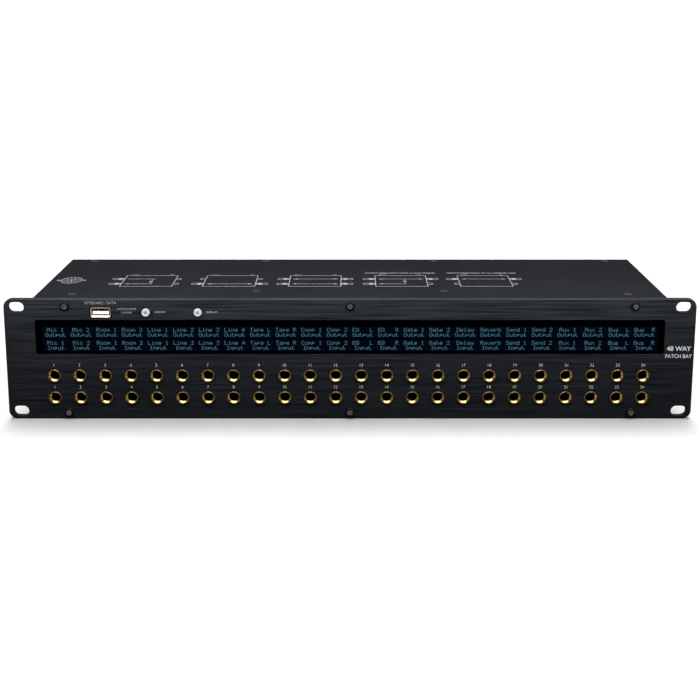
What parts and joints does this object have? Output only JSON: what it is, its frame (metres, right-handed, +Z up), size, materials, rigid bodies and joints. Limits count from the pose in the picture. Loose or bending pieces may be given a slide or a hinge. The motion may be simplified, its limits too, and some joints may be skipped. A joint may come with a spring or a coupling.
{
  "type": "audio patch bay",
  "caption": "Two-unit 19-inch rack patch bay: two rows of gold phone jacks under a long label display, two push buttons and a USB socket, in a black case",
  "frame": {"origin": "centre of the four rack slots on the panel's mounting face, the rear of the front panel", "axes": "+X to the right seen from the front, +Y to the rear of the unit, +Z up"},
  "size_m": [0.4826, 0.1069, 0.0882],
  "materials": {
    "panel_black": "satin",
    "case_black": "matte",
    "screw_black": "satin",
    "gold": "polished",
    "nickel": "satin",
    "contact_metal": "satin",
    "black_plastic": "matte",
    "board_green": "satin",
    "display_glass": "gloss",
    "clear_window": "gloss",
    "button_white": "satin",
    "socket_white": "satin",
    "capacitor_can": "satin",
    "lead_black": "matte"
  },
  "bodies": {
    "case": {"front_panel": "panel_black", "panel_screws": "screw_black", "chassis_tray": "case_black", "front_rail": "case_black", "rear_panel": "case_black", "top_cover": "case_black", "front_cover_screws": "screw_black", "rear_cover_screws": "screw_black", "bottom_screws": "screw_black", "side_screws": "screw_black", "front_sleeves_upper": "gold", "front_sleeves_lower": "gold", "front_housings_upper": "black_plastic", "front_housings_lower": "black_plastic", "front_tip_springs": "contact_metal", "front_ring_springs": "contact_metal", "rear_sleeves_upper": "nickel", "rear_sleeves_lower": "nickel", "rear_housings_upper": "black_plastic", "rear_housings_lower": "black_plastic", "rear_tip_springs": "contact_metal", "rear_ring_springs": "contact_metal", "rear_jack_washers": "nickel", "rear_jack_nuts": "nickel", "channel_boards": "board_green", "display_window": "clear_window", "display_frame": "black_plastic", "display_modules": "display_glass", "display_carriers": "board_green", "display_headers": "black_plastic", "display_board": "board_green", "board_standoffs": "nickel", "board_screws": "screw_black", "processor_chip": "black_plastic", "driver_chips": "black_plastic", "board_capacitors": "capacitor_can", "switch_bodies": "black_plastic", "usb_shell": "nickel", "usb_tongue": "socket_white", "usb_contacts": "contact_metal", "dc_inlet_body": "black_plastic", "dc_inlet_pin": "nickel", "dc_inlet_nut": "nickel", "power_header": "socket_white", "power_plug": "socket_white", "power_lead": "lead_black"},
    "update_key": {"update_button": "button_white"},
    "display_key": {"display_button": "button_white"}
  },
  "joints": [
    {"name": "update_press", "type": "slide", "parent": "case", "child": "update_key", "axis": [0, 1, 0], "range_m": [0, 0.0005], "stiffness_N_per_m": 1000, "springref_m": -0.0003},
    {"name": "display_press", "type": "slide", "parent": "case", "child": "display_key", "axis": [0, 1, 0], "range_m": [0, 0.0005], "stiffness_N_per_m": 1000, "springref_m": -0.0003}
  ]
}
